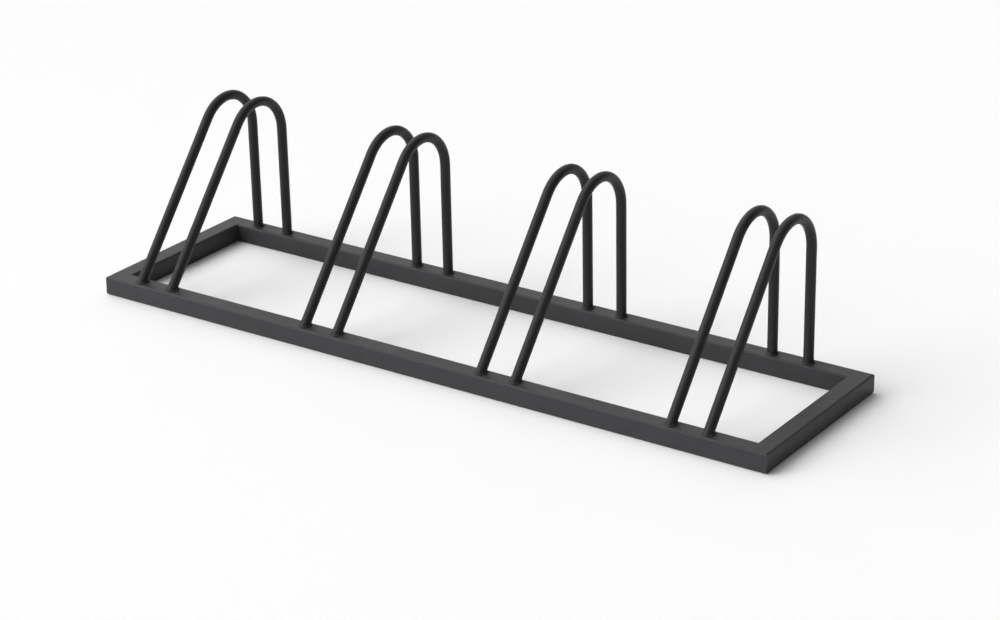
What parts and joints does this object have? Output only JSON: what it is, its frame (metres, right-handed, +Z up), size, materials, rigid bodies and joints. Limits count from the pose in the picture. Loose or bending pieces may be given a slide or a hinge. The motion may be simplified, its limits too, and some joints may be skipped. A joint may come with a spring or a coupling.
{
  "type": "commercial bike rack",
  "caption": "Floor-standing bicycle rack: a low rectangular frame of square tube carrying paired bent-tube hoops that hold wheels upright in slots between them.",
  "frame": {"origin": "on the floor, under the middle of the rectangular base frame", "axes": "+X along the rack to its right end, +Y to the rear, where the hoops' upright legs stand, +Z up"},
  "size_m": [1.5, 0.41, 0.356],
  "materials": {
    "rail_coat": "satin powder coat, anthracite",
    "hoop_coat": "satin powder coat, anthracite",
    "weld_coat": "satin powder coat over a rippled weld bead"
  },
  "bodies": {
    "root": {"front_rail": "rail_coat", "rear_rail": "rail_coat", "left_end_rail": "rail_coat", "right_end_rail": "rail_coat", "hoop_1_left": "hoop_coat", "hoop_1_right": "hoop_coat", "hoop_2_left": "hoop_coat", "hoop_2_right": "hoop_coat", "hoop_3_left": "hoop_coat", "hoop_3_right": "hoop_coat", "hoop_4_left": "hoop_coat", "hoop_4_right": "hoop_coat", "weld_1_left_front": "weld_coat", "weld_1_left_rear": "weld_coat", "weld_1_right_front": "weld_coat", "weld_1_right_rear": "weld_coat", "weld_2_left_front": "weld_coat", "weld_2_left_rear": "weld_coat", "weld_2_right_front": "weld_coat", "weld_2_right_rear": "weld_coat", "weld_3_left_front": "weld_coat", "weld_3_left_rear": "weld_coat", "weld_3_right_front": "weld_coat", "weld_3_right_rear": "weld_coat", "weld_4_left_front": "weld_coat", "weld_4_left_rear": "weld_coat", "weld_4_right_front": "weld_coat", "weld_4_right_rear": "weld_coat"}
  },
  "joints": []
}
